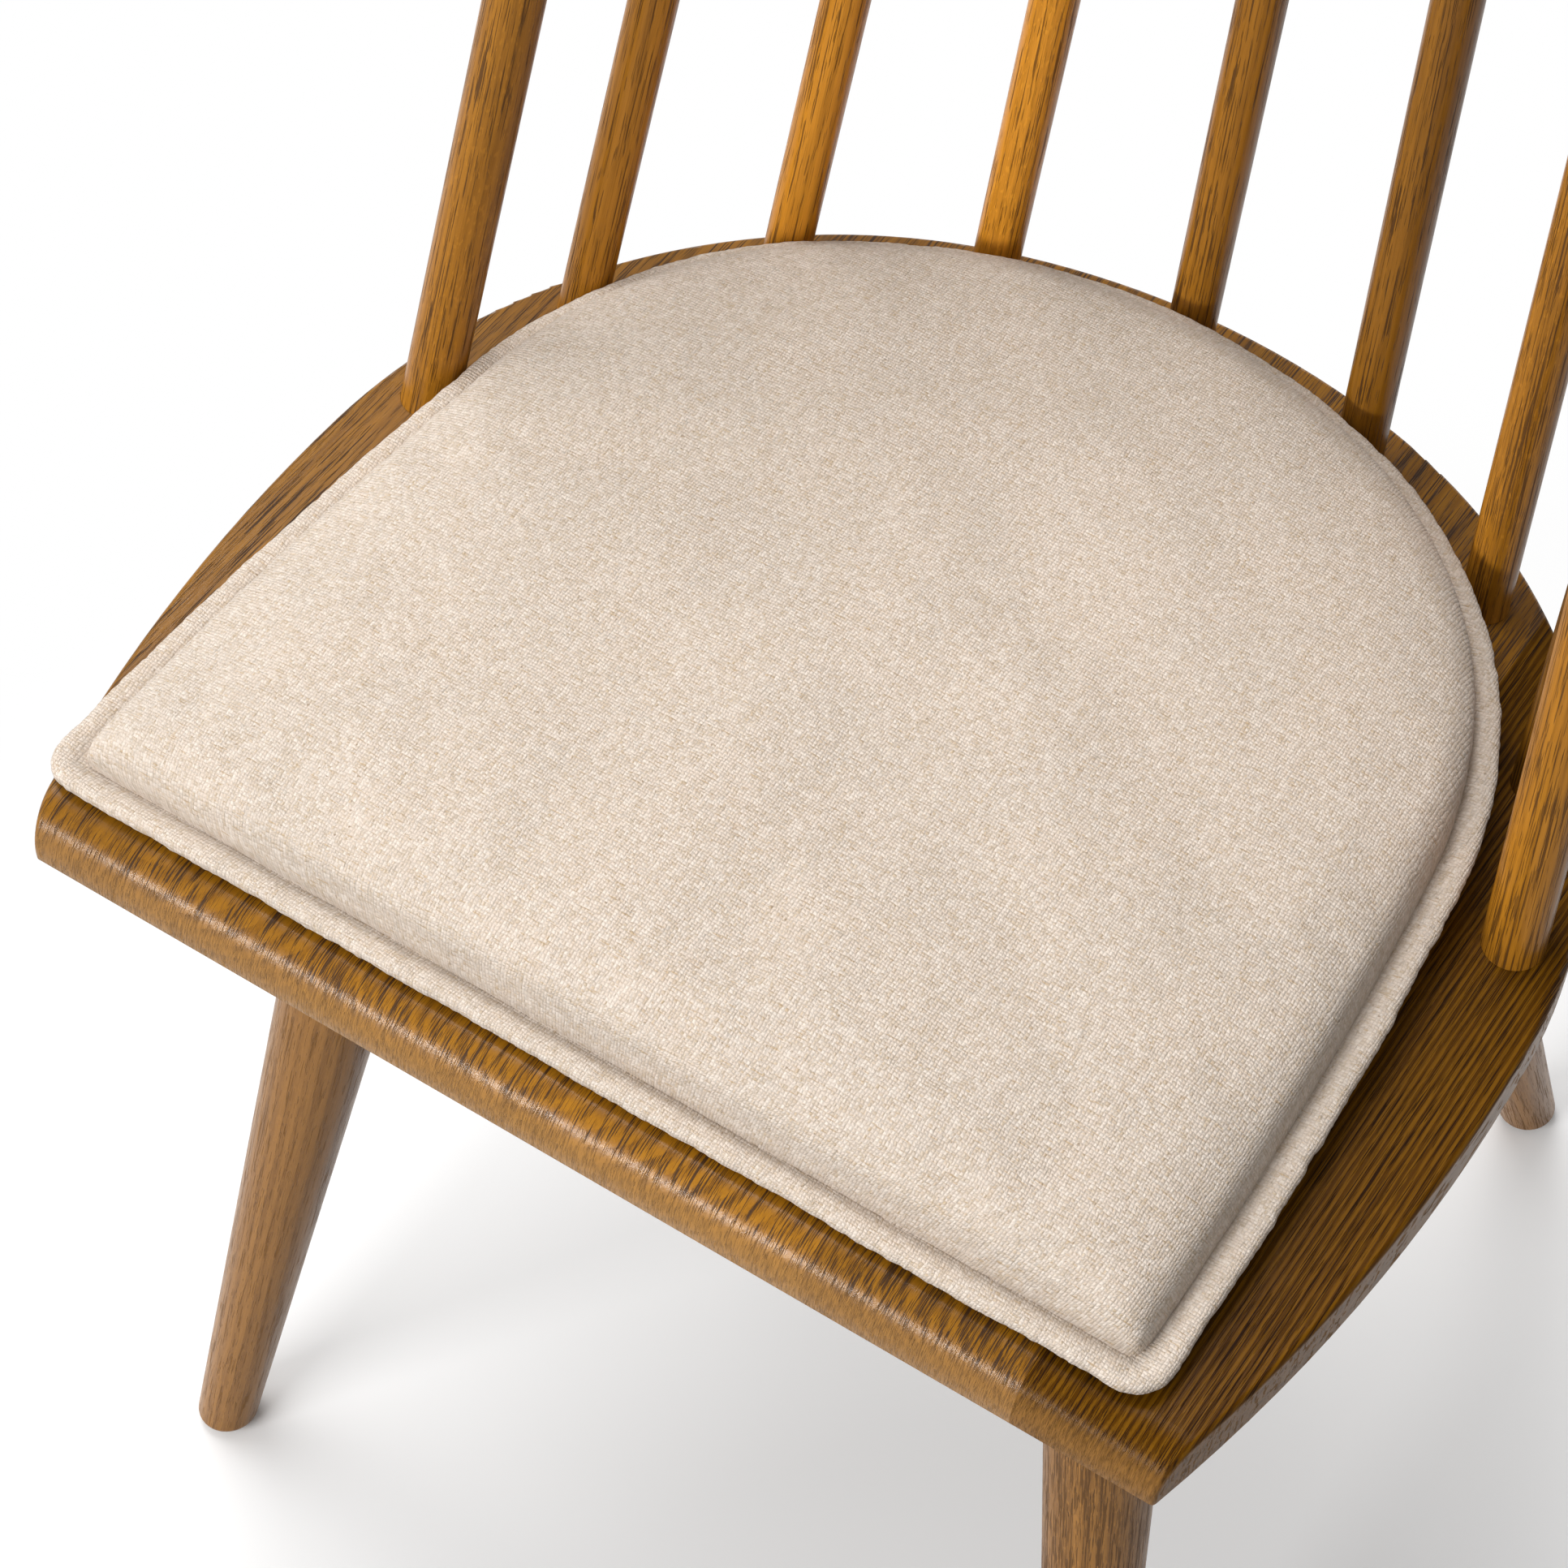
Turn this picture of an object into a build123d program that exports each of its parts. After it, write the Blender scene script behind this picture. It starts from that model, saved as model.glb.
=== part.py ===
"""Spindle-back oak armchair with a loose seat cushion.

The frame stands on the floor at Z = 0 and faces -Y, with +X on the right of someone facing it.
The origin is half-way between the seat's front edge and the back of the rail.  Millimetres.
"""
import os
from math import acos, atan, cos, degrees, radians, sin

from build123d import *

os.makedirs("parts", exist_ok=True)

# ---------------------------------------------------------------- driving dimensions
overall_depth = 480.4        # seat's front edge to the back of the rail

# seat: six oak staves glued edge to edge, a D in plan with a straight front
seat_height = 450.0          # floor to the flat top
seat_thickness = 32.0
seat_depth = 426.4
seat_back_radius = 290.0     # flattest arc, across the back
seat_back_turn = 17.0        # degrees of it on each side of the middle
seat_shoulder_radius = 228.0
seat_shoulder_turn = 70.5
seat_side_radius = 639.0     # nearly straight arc, down to the front corner
stave_joints = (-182.0, -110.0, -20.0, 92.0, 170.0)   # glue lines, from left to right
nose_radius = 18.0           # round front edge
bevel_height = 12.0          # slope under the rim
bevel_width = 16.0
rim_round = 2.0              # broken edge round the sides and back

# uprights: seven spindles between two thicker posts
spindle_diameter = 18.2
post_diameter = 21.8
upright_inset = 19.5         # from the seat's outline to the line of sockets
spindle_pitch = 80.0         # along the line of sockets in the seat
post_pitch = 68.0            # last spindle to post, in the seat
rail_spindle_pitch = 65.0    # along the rail
rail_post_pitch = 85.0       # last spindle to post, on the rail
seat_socket_depth = 20.0
rail_socket_past_centre = 4.0
glue_line = 0.10             # radial room for glue in every round joint
socket_end_room = 0.5        # room for glue at the bottom of a blind hole

# rail: a bow of three pieces, lying in a plane that rises to the back
rail_centre_height = 780.0   # at the middle of the back
rail_tilt = 10.0             # degrees
rail_width = 32.0
rail_depth = 38.0
rail_corner = 13.0
rail_back_radius = 378.0
rail_back_turn = 21.4
rail_bend_radius = 89.4
rail_bend_turn = 67.5
arm_overhang = 46.0          # straight end of the arm, past the post
arm_end_round = 9.0
dowel_diameter = 8.0
dowel_margin = 4.4           # wood between a dowel's end and the socket beyond it
dowel_spacing = 16.0

# legs: turned cones with a wedged tenon through the seat
foot_diameter = 25.2
leg_top_diameter = 48.2
front_foot = (214.0, 13.4)   # (out from the middle, back from the front edge)
front_leg_top = (149.5, 105.1)
rear_foot = (193.0, 465.0)
rear_leg_top = (134.0, 335.0)
foot_round = 3.0
tenon_diameter = 30.0
wedge_top_width = 4.0
wedge_tip_width = 1.0
wedge_depth = 22.0
glide_diameter = 18.0
glide_thickness = 2.5
glide_round = 0.8
nail_diameter = 2.2
nail_length = 18.0
nail_head_diameter = 5.6
nail_head_height = 1.0

# cushion: foam in a flanged cover, lying loose on the seat
cushion_gap = 1.9            # to the middle spindle, where the flange meets it
cushion_lift = 0.3           # above the seat
cushion_front_margin = 15.7  # seat left bare along the front edge
cushion_off_centre = -1.0    # start of the outline, at the back
cushion_right_back_radius = 242.0
cushion_right_back_turn = 23.1
cushion_right_bend_radius = 180.1
cushion_right_bend_turn = 61.3
cushion_right_side_radius = 1630.8
cushion_left_back_radius = 243.5     # the cushion lies a little to the left
cushion_left_back_turn = 30.6
cushion_left_bend_radius = 174.9
cushion_left_bend_turn = 50.9
cushion_left_side_radius = 2168.1
cushion_corner = 14.0        # of the flange
pad_corner = 13.0            # of the pad inside it
flange_width = 12.0
flange_thickness = 4.0
flange_front_height = 4.0    # above the seat
flange_back_height = 22.0    # pushed up where the back of the cushion leans on the spindles
cushion_edge_height = 26.0   # pad's edge before it is rounded
cushion_crown = 12.0         # rise of the middle over the edge
cushion_crown_reach = 280.0  # distance over which it rises
cushion_crown_y = 60.0       # the highest point lies behind the middle
cushion_top_round = 9.0
cushion_bottom_round = 4.0
cover_thickness = 1.2
zip_length = 260.0
zip_width = 9.0
zip_from_back = 62.0
zip_slider_length = 11.0
zip_slider_width = 6.0

# ---------------------------------------------------------------- derived places
front_y = -overall_depth / 2
seat_back_y = front_y + seat_depth
seat_underside = seat_height - seat_thickness
tilt = radians(rail_tilt)
rail_flat_half_width = rail_width / 2 - rail_corner
rail_flat_half_depth = rail_depth / 2 - rail_corner
rail_reach = rail_flat_half_width * cos(tilt) + rail_flat_half_depth * sin(tilt) + rail_corner
rail_back_y = overall_depth / 2 - rail_reach
spindle_radius = spindle_diameter / 2
post_radius = post_diameter / 2


def turn_to_reach(line, radius, target_y, side=1):
    """Degrees that an arc going forward from the line's end turns inward before it reaches target_y."""
    across = side * (line % 1).X
    drop = (line @ 1).Y - target_y
    return degrees(acos(across - drop / radius)) - degrees(acos(across))


# ---------------------------------------------------------------- lines that the uprights stand on
with BuildLine(Plane.XY.offset(seat_height)) as socket_line:
    socket_back = JernArc(
        (0, seat_back_y - upright_inset), (1, 0), seat_back_radius - upright_inset, -seat_back_turn
    )
    JernArc(
        socket_back @ 1, socket_back % 1, seat_shoulder_radius - upright_inset, -seat_shoulder_turn
    )

rail_plane = Plane(
    origin=(0, rail_back_y, rail_centre_height), x_dir=(1, 0, 0), z_dir=(0, -sin(tilt), cos(tilt))
)
rail_post_at = 3 * rail_spindle_pitch + rail_post_pitch
rail_bends_end = radians(rail_back_turn) * rail_back_radius + radians(rail_bend_turn) * rail_bend_radius
with BuildLine(rail_plane) as rail_line:
    rail_back_arc = JernArc((0, 0), (1, 0), rail_back_radius, -rail_back_turn)
    rail_bend_arc = JernArc(rail_back_arc @ 1, rail_back_arc % 1, rail_bend_radius, -rail_bend_turn)
    Line(
        rail_bend_arc @ 1,
        rail_bend_arc @ 1 + (rail_bend_arc % 1) * (rail_post_at + arm_overhang - rail_bends_end),
    )


def on_line(line, distance):
    return line.wire().position_at(distance, position_mode=PositionMode.LENGTH)


def along_line(line, distance):
    return line.wire().tangent_at(distance, position_mode=PositionMode.LENGTH)


# each upright: name, side of the middle, place in the seat, place on the rail, radius
upright_places = []
for step in (-3, -2, -1, 0, 1, 2, 3):
    seat_place = abs(step) * spindle_pitch
    rail_place = abs(step) * rail_spindle_pitch
    upright_places.append((f"spindle_{step + 4}", step, seat_place, rail_place, spindle_radius))
for post_name, post_side in (("end_post_left", -1), ("end_post_right", 1)):
    seat_place = 3 * spindle_pitch + post_pitch
    upright_places.append((post_name, post_side, seat_place, rail_post_at, post_radius))

uprights = []
for upright_name, side, seat_place, rail_place, upright_radius in upright_places:
    base = on_line(socket_line, seat_place)
    head = on_line(rail_line, rail_place)
    if side < 0:
        base = Vector(-base.X, base.Y, base.Z)
        head = Vector(-head.X, head.Y, head.Z)
    uprights.append((upright_name, base, head, upright_radius))


def upright_solid(base, head, radius, below, above):
    """Round bar from below its place in the seat to above its place on the rail, square at both ends."""
    way = (head - base).normalized()
    with BuildPart(Plane(origin=base - way * below, z_dir=way)) as bar:
        Cylinder(radius, (head - base).length + below + above, align=(Align.CENTER, Align.CENTER, Align.MIN))
    return bar.part


# ---------------------------------------------------------------- legs
legs = []
for leg_row, foot_place, top_place in (
    ("front", front_foot, front_leg_top),
    ("rear", rear_foot, rear_leg_top),
):
    for leg_hand, side in (("left", -1), ("right", 1)):
        foot = Vector(side * foot_place[0], front_y + foot_place[1], 0)
        shoulder = Vector(side * top_place[0], front_y + top_place[1], seat_underside)
        legs.append((f"{leg_row}_{leg_hand}", foot, shoulder))


def leg_point(foot, shoulder, height):
    """Point on the leg's axis at this height above the floor."""
    return foot + (shoulder - foot) * (height / (shoulder.Z - foot.Z))


def leg_cone(foot, shoulder):
    """Plain turned cone along the leg's axis, running past both ends."""
    way = (shoulder - foot).normalized()
    axis_length = (shoulder - foot).length
    spare = leg_top_diameter / 2
    taper = (leg_top_diameter - foot_diameter) / 2 / axis_length
    with BuildPart(Plane(origin=foot - way * spare, z_dir=way)) as cone:
        Cone(
            foot_diameter / 2 - taper * spare,
            leg_top_diameter / 2 + taper * spare,
            axis_length + 2 * spare,
            align=(Align.CENTER, Align.CENTER, Align.MIN),
        )
    return cone.part


def leg_tenon(foot, shoulder, radius):
    """Tenon bar along the leg's axis, from inside the leg's head to above the seat."""
    way = (shoulder - foot).normalized()
    with BuildPart(Plane(origin=shoulder - way * tenon_diameter / 2, z_dir=way)) as bar:
        Cylinder(radius, seat_thickness + tenon_diameter, align=(Align.CENTER, Align.CENTER, Align.MIN))
    return bar.part


def wedge_slab(foot, shoulder):
    """V-shaped slab across the top of a tenon, at right angles to the grain of the seat."""
    crown = leg_point(foot, shoulder, seat_height)
    with BuildPart() as slab:
        with BuildSketch(Plane(origin=crown, x_dir=(0, 1, 0), z_dir=(1, 0, 0))):
            with BuildLine():
                Polyline(
                    (-wedge_top_width / 2, 0),
                    (wedge_top_width / 2, 0),
                    (wedge_tip_width / 2, -wedge_depth),
                    (-wedge_tip_width / 2, -wedge_depth),
                    close=True,
                )
            make_face()
        extrude(amount=tenon_diameter, both=True)
    return slab.part


def nail_solid(foot, shoulder):
    """Nail that holds a glide, head down."""
    place = leg_point(foot, shoulder, glide_thickness)
    with BuildPart(Plane(origin=(place.X, place.Y, glide_thickness - nail_head_height))) as nail:
        Cylinder(nail_head_diameter / 2, nail_head_height, align=(Align.CENTER, Align.CENTER, Align.MIN))
        Cylinder(nail_diameter / 2, nail_length, align=(Align.CENTER, Align.CENTER, Align.MIN))
    return nail.part


wedge_solids = []
nail_solids = []
for leg_name, foot, shoulder in legs:
    nail_solids.append(nail_solid(foot, shoulder))
    with BuildPart() as leg:
        add(leg_cone(foot, shoulder))
        split(bisect_by=Plane.XY.offset(seat_underside), keep=Keep.BOTTOM)
        split(bisect_by=Plane.XY.offset(glide_thickness), keep=Keep.TOP)
        fillet(leg.faces().sort_by(Axis.Z)[0].edges(), foot_round)
        add(leg_tenon(foot, shoulder, tenon_diameter / 2))
        split(bisect_by=Plane.XY.offset(seat_height), keep=Keep.BOTTOM)
        add(wedge_slab(foot, shoulder), mode=Mode.SUBTRACT)
        add(nail_solids[-1], mode=Mode.SUBTRACT)
    leg.part.label = f"leg_{leg_name}"
    export_step(leg.part, f"parts/leg_{leg_name}.step")

    with BuildPart() as wedge:
        add(leg_tenon(foot, shoulder, tenon_diameter / 2))
        add(wedge_slab(foot, shoulder), mode=Mode.INTERSECT)
    wedge_solids.append(wedge.part)

    glide_place = leg_point(foot, shoulder, glide_thickness)
    with BuildPart() as glide:
        with Locations((glide_place.X, glide_place.Y, 0)):
            Cylinder(glide_diameter / 2, glide_thickness, align=(Align.CENTER, Align.CENTER, Align.MIN))
        fillet(glide.faces().sort_by(Axis.Z)[0].edges(), glide_round)
        add(nail_solids[-1], mode=Mode.SUBTRACT)
    glide.part.label = f"glide_{leg_name}"
    export_step(glide.part, f"parts/glide_{leg_name}.step")

with BuildPart() as leg_wedges:
    add(wedge_solids)
leg_wedges.part.label = "leg_wedges"
export_step(leg_wedges.part, "parts/leg_wedges.step")

with BuildPart() as glide_nails:
    add(nail_solids)
glide_nails.part.label = "glide_nails"
export_step(glide_nails.part, "parts/glide_nails.step")

# ---------------------------------------------------------------- seat
with BuildPart() as seat_blank:
    with BuildSketch(Plane.XY.offset(seat_underside)):
        with BuildLine():
            seat_back = JernArc((0, seat_back_y), (1, 0), seat_back_radius, -seat_back_turn)
            seat_shoulder = JernArc(seat_back @ 1, seat_back % 1, seat_shoulder_radius, -seat_shoulder_turn)
            seat_side = JernArc(
                seat_shoulder @ 1,
                seat_shoulder % 1,
                seat_side_radius,
                -turn_to_reach(seat_shoulder, seat_side_radius, front_y),
            )
            Line(seat_side @ 1, (0, front_y))
            mirror(about=Plane.YZ)
        make_face()
    extrude(amount=seat_thickness)
    seat_half_width = seat_blank.part.bounding_box().max.X
    underside = seat_blank.faces().sort_by(Axis.Z)[0]
    chamfer(underside.edges(), length=bevel_width, length2=bevel_height, reference=underside)
    with BuildSketch(Plane.YZ):
        with Locations((front_y, seat_height)):
            Rectangle(nose_radius, nose_radius, align=(Align.MIN, Align.MAX))
        with Locations((front_y + nose_radius, seat_height - nose_radius)):
            Circle(nose_radius, mode=Mode.SUBTRACT)
    extrude(amount=seat_half_width, both=True, mode=Mode.SUBTRACT)
    top_face = seat_blank.faces().sort_by(Axis.Z)[-1]
    rim_edges = top_face.edges().filter_by(GeomType.CIRCLE)
    fillet(rim_edges, rim_round)
    for upright_name, base, head, upright_radius in uprights:
        add(
            upright_solid(
                base, head, upright_radius + glue_line, seat_socket_depth + socket_end_room, 0
            ),
            mode=Mode.SUBTRACT,
        )
    for leg_name, foot, shoulder in legs:
        add(leg_tenon(foot, shoulder, tenon_diameter / 2 + glue_line), mode=Mode.SUBTRACT)

stave_edges = (-seat_half_width, *stave_joints, seat_half_width)
for number, (left_edge, right_edge) in enumerate(zip(stave_edges[:-1], stave_edges[1:]), start=1):
    with BuildPart() as stave:
        add(seat_blank.part)
        with Locations(((left_edge + right_edge) / 2, 0, seat_height)):
            Box(right_edge - left_edge, 2 * overall_depth, 2 * seat_height, mode=Mode.INTERSECT)
    stave.part.label = f"seat_stave_{number}"
    export_step(stave.part, f"parts/seat_stave_{number}.step")

# ---------------------------------------------------------------- spindles and posts
for upright_name, base, head, upright_radius in uprights:
    with BuildPart() as upright:
        add(upright_solid(base, head, upright_radius, seat_socket_depth, rail_socket_past_centre))
    upright.part.label = upright_name
    export_step(upright.part, f"parts/{upright_name}.step")


# ---------------------------------------------------------------- rail
def rail_section(place, way):
    """Plane square to the rail, with its local X up out of the rail's plane."""
    return Plane(origin=place, x_dir=rail_plane.z_dir, z_dir=way)


rail_joint_at = 2.5 * rail_spindle_pitch
dowel_length = rail_spindle_pitch - spindle_diameter - 2 * dowel_margin
joint_place = on_line(rail_line, rail_joint_at)
joint_way = along_line(rail_line, rail_joint_at)
joint_turn = degrees((rail_joint_at - radians(rail_back_turn) * rail_back_radius) / rail_bend_radius)

with BuildPart(rail_section(joint_place, joint_way)) as right_dowels:
    with Locations((-dowel_spacing / 2, 0), (dowel_spacing / 2, 0)):
        Cylinder(dowel_diameter / 2, dowel_length)

with BuildPart(rail_section(joint_place, joint_way)) as dowel_holes:
    with Locations((-dowel_spacing / 2, 0), (dowel_spacing / 2, 0)):
        Cylinder(dowel_diameter / 2 + glue_line, dowel_length + 2 * socket_end_room)

with BuildPart() as back_rail:
    with BuildLine(rail_plane) as half_back:
        half_back_arc = JernArc((0, 0), (1, 0), rail_back_radius, -rail_back_turn)
        JernArc(half_back_arc @ 1, half_back_arc % 1, rail_bend_radius, -joint_turn)
    with BuildSketch(rail_section(half_back_arc @ 0, half_back_arc % 0)):
        RectangleRounded(rail_depth, rail_width, rail_corner)
    sweep(path=half_back.wire())
    add(dowel_holes.part, mode=Mode.SUBTRACT)
    mirror(about=Plane.YZ)
    for upright_name, base, head, upright_radius in uprights:
        add(
            upright_solid(
                base, head, upright_radius + glue_line, 0, rail_socket_past_centre + socket_end_room
            ),
            mode=Mode.SUBTRACT,
        )
back_rail.part.label = "back_rail"
export_step(back_rail.part, "parts/back_rail.step")

with BuildPart() as arm_right:
    with BuildLine(rail_plane) as arm_line:
        arm_bend = JernArc(joint_place, joint_way, rail_bend_radius, -(rail_bend_turn - joint_turn))
        Line(arm_bend @ 1, on_line(rail_line, rail_post_at + arm_overhang))
    with BuildSketch(rail_section(joint_place, joint_way)):
        RectangleRounded(rail_depth, rail_width, rail_corner)
    sweep(path=arm_line.wire())
    fillet(arm_right.faces().sort_by(Axis.Y)[0].edges(), arm_end_round)
    add(dowel_holes.part, mode=Mode.SUBTRACT)
    for upright_name, base, head, upright_radius in uprights:
        add(
            upright_solid(
                base, head, upright_radius + glue_line, 0, rail_socket_past_centre + socket_end_room
            ),
            mode=Mode.SUBTRACT,
        )
arm_right.part.label = "arm_right"
export_step(arm_right.part, "parts/arm_right.step")

with BuildPart() as arm_left:
    mirror(arm_right.part, about=Plane.YZ)
arm_left.part.label = "arm_left"
export_step(arm_left.part, "parts/arm_left.step")

with BuildPart() as rail_dowels:
    add(right_dowels.part)
    mirror(about=Plane.YZ)
rail_dowels.part.label = "rail_dowels"
export_step(rail_dowels.part, "parts/rail_dowels.step")

# ---------------------------------------------------------------- cushion
middle_spindle_lean = (rail_back_y - (seat_back_y - upright_inset)) / (rail_centre_height - seat_height)
cushion_back_y = (
    seat_back_y - upright_inset - spindle_radius - cushion_gap + middle_spindle_lean * flange_back_height
)
cushion_front_y = front_y + cushion_front_margin
cushion_bottom = seat_height + cushion_lift
cushion_middle_y = (cushion_back_y + cushion_front_y) / 2
flange_slope = atan((flange_back_height - flange_front_height) / (cushion_back_y - cushion_front_y))
flange_middle_height = (flange_front_height + flange_back_height) / 2


def cushion_outline(inset, height):
    """The cushion's D outline, drawn this far inside its edge and at this height."""
    with BuildSketch(Plane.XY.offset(height)) as outline:
        with BuildLine():
            start = (cushion_off_centre, cushion_back_y)
            right_back = JernArc(start, (1, 0), cushion_right_back_radius, -cushion_right_back_turn)
            right_bend = JernArc(
                right_back @ 1, right_back % 1, cushion_right_bend_radius, -cushion_right_bend_turn
            )
            right_side = JernArc(
                right_bend @ 1,
                right_bend % 1,
                cushion_right_side_radius,
                -turn_to_reach(right_bend, cushion_right_side_radius, cushion_front_y),
            )
            left_back = JernArc(start, (-1, 0), cushion_left_back_radius, cushion_left_back_turn)
            left_bend = JernArc(
                left_back @ 1, left_back % 1, cushion_left_bend_radius, cushion_left_bend_turn
            )
            left_side = JernArc(
                left_bend @ 1,
                left_bend % 1,
                cushion_left_side_radius,
                turn_to_reach(left_bend, cushion_left_side_radius, cushion_front_y, side=-1),
            )
            Line(right_side @ 1, left_side @ 1)
        make_face()
        corner = flange_width + pad_corner if inset else cushion_corner
        fillet(outline.vertices().group_by(Axis.Y)[0], corner)
        if inset:
            offset(amount=-inset, mode=Mode.REPLACE)
    return outline.sketch


def cushion_pad(inset, skin):
    """Crowned pad inside a skin: the outline drawn up, domed on top, rounded above and below."""
    dome_radius = (cushion_crown_reach**2 + cushion_crown**2) / (2 * cushion_crown)
    dome_top = cushion_bottom + cushion_edge_height + cushion_crown - skin
    with BuildPart() as pad:
        extrude(cushion_outline(inset, cushion_bottom + skin), amount=cushion_edge_height + cushion_crown)
        with Locations((cushion_off_centre, cushion_crown_y, dome_top - dome_radius)):
            Sphere(dome_radius, mode=Mode.INTERSECT)
        fillet(pad.faces().sort_by(Axis.Z)[-1].edges(), cushion_top_round - skin)
        fillet(pad.faces().sort_by(Axis.Z)[0].edges(), cushion_bottom_round - skin)
    return pad.part


flange_plane = Plane(
    origin=(0, cushion_middle_y, seat_height + flange_middle_height + flange_thickness / 2),
    x_dir=(1, 0, 0),
    z_dir=(0, -sin(flange_slope), cos(flange_slope)),
)

with BuildPart() as cushion_foam:
    add(cushion_pad(flange_width + cover_thickness, cover_thickness))
cushion_foam.part.label = "cushion_foam"
export_step(cushion_foam.part, "parts/cushion_foam.step")

zip_place = (cushion_off_centre, cushion_back_y - zip_from_back, cushion_bottom)
with BuildPart() as zip_slider:
    with Locations((cushion_off_centre + zip_slider_length - zip_length / 2, *zip_place[1:])):
        Box(
            zip_slider_length,
            zip_slider_width,
            cover_thickness,
            align=(Align.CENTER, Align.CENTER, Align.MIN),
        )
zip_slider.part.label = "zip_slider"
export_step(zip_slider.part, "parts/zip_slider.step")

with BuildPart() as cushion_zip:
    with Locations(zip_place):
        Box(zip_length, zip_width, cover_thickness, align=(Align.CENTER, Align.CENTER, Align.MIN))
    add(zip_slider.part, mode=Mode.SUBTRACT)
cushion_zip.part.label = "cushion_zip"
export_step(cushion_zip.part, "parts/cushion_zip.step")

with BuildPart() as cover_shell:
    add(cushion_pad(flange_width, 0))
    add(cushion_foam.part, mode=Mode.SUBTRACT)
    add(cushion_zip.part, mode=Mode.SUBTRACT)
    add(zip_slider.part, mode=Mode.SUBTRACT)

for panel_name, side_kept in (("cushion_top_panel", Keep.TOP), ("cushion_bottom_panel", Keep.BOTTOM)):
    with BuildPart() as panel:
        add(cover_shell.part)
        split(bisect_by=flange_plane, keep=side_kept)
    panel.part.label = panel_name
    export_step(panel.part, f"parts/{panel_name}.step")

with BuildPart() as cushion_flange:
    extrude(cushion_outline(0, cushion_bottom), amount=cushion_edge_height)
    extrude(cushion_outline(flange_width, cushion_bottom), amount=cushion_edge_height, mode=Mode.SUBTRACT)
    split(bisect_by=flange_plane.offset(flange_thickness / 2), keep=Keep.BOTTOM)
    split(bisect_by=flange_plane.offset(-flange_thickness / 2), keep=Keep.TOP)
cushion_flange.part.label = "cushion_flange"
export_step(cushion_flange.part, "parts/cushion_flange.step")
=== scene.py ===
"""Spindle-back oak armchair with a loose oatmeal cushion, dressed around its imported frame.  Metres."""

from math import cos, pi, sin

import bmesh
import bpy
import numpy as np
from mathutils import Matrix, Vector, geometry, kdtree, noise


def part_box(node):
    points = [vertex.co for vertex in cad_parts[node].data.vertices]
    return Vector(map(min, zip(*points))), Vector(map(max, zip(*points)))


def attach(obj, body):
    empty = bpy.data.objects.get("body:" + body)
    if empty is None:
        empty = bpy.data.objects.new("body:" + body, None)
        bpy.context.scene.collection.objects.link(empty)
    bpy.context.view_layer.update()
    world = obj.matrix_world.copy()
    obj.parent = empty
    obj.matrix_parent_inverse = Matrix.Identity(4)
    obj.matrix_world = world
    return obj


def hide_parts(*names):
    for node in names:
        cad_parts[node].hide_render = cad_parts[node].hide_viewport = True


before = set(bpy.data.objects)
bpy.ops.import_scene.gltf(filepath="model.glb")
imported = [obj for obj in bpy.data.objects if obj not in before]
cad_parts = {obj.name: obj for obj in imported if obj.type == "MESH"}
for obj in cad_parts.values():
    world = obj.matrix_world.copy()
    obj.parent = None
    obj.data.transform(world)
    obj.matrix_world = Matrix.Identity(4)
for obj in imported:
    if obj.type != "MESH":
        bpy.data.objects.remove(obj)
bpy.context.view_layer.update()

# ---------------------------------------------------------------- seat
# Six oak boards planed, glued edge to edge and shaped in one go.  Each board comes from another log,
# so its colour, its rings and its pores change at the glue line; the right-hand board is also made
# darker in part as painted shade.  Stained and lacquered satin.
oak_ring_width = 0.0042
oak_pore_width = 0.00075
oak_pore_length = 0.034
oak_pore_depth = 0.00035
oak_fibre_width = 0.000484
oak_fibre_length = 0.018
oak_roughness = 0.24
fibre_roughness = 0.14
pore_roughness = 0.30
lacquer_coat_share = 0.6
lacquer_coat_roughness = 0.14


class Wiring:
    """Short ways to add nodes to one finish and to join them."""

    def __init__(self, tree):
        self.tree = tree

    def node(self, kind, **settings):
        """Adds a node with these settings."""
        made = self.tree.nodes.new(kind)
        for key, value in settings.items():
            setattr(made, key, value)
        return made

    def join(self, source, socket):
        """Gives a socket a number, a colour or another node's output."""
        if isinstance(source, (int, float)):
            socket.default_value = source
        elif isinstance(source, tuple):
            socket.default_value = (*source, 1.0)
        else:
            self.tree.links.new(source, socket)

    def maths(self, operation, *values):
        """One step of arithmetic on one, two or three values."""
        made = self.node("ShaderNodeMath", operation=operation)
        for value, socket in zip(values, made.inputs):
            self.join(value, socket)
        return made.outputs[0]

    def noise_at(self, place, size, detail=2.0, roughness=0.5):
        """Noise whose clouds have this size along the three axes."""
        stretched = self.node("ShaderNodeVectorMath", operation="MULTIPLY")
        self.join(place, stretched.inputs[0])
        stretched.inputs[1].default_value = tuple(1 / length for length in size)
        made = self.node("ShaderNodeTexNoise")
        made.inputs["Scale"].default_value = 1.0
        made.inputs["Detail"].default_value = detail
        made.inputs["Roughness"].default_value = roughness
        self.join(stretched.outputs[0], made.inputs["Vector"])
        return made

    def spread(self, value, low, high, to_low=0.0, to_high=1.0):
        """Soft step from to_low to to_high while the value goes from low to high."""
        made = self.node("ShaderNodeMapRange", interpolation_type="SMOOTHSTEP")
        self.join(value, made.inputs["Value"])
        for key, number in (("From Min", low), ("From Max", high), ("To Min", to_low), ("To Max", to_high)):
            made.inputs[key].default_value = number
        return made.outputs["Result"]

    def blend(self, share, first, second):
        """First colour with a share of the second."""
        made = self.node("ShaderNodeMix", data_type="RGBA")
        for source, socket in zip((share, first, second), (made.inputs[0], made.inputs[6], made.inputs[7])):
            self.join(source, socket)
        return made.outputs[2]


def new_finish(name):
    """An empty material and the wiring of its nodes."""
    material = bpy.data.materials.new(name)
    material.use_nodes = True
    material.node_tree.nodes.clear()
    return material, Wiring(material.node_tree)


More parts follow.
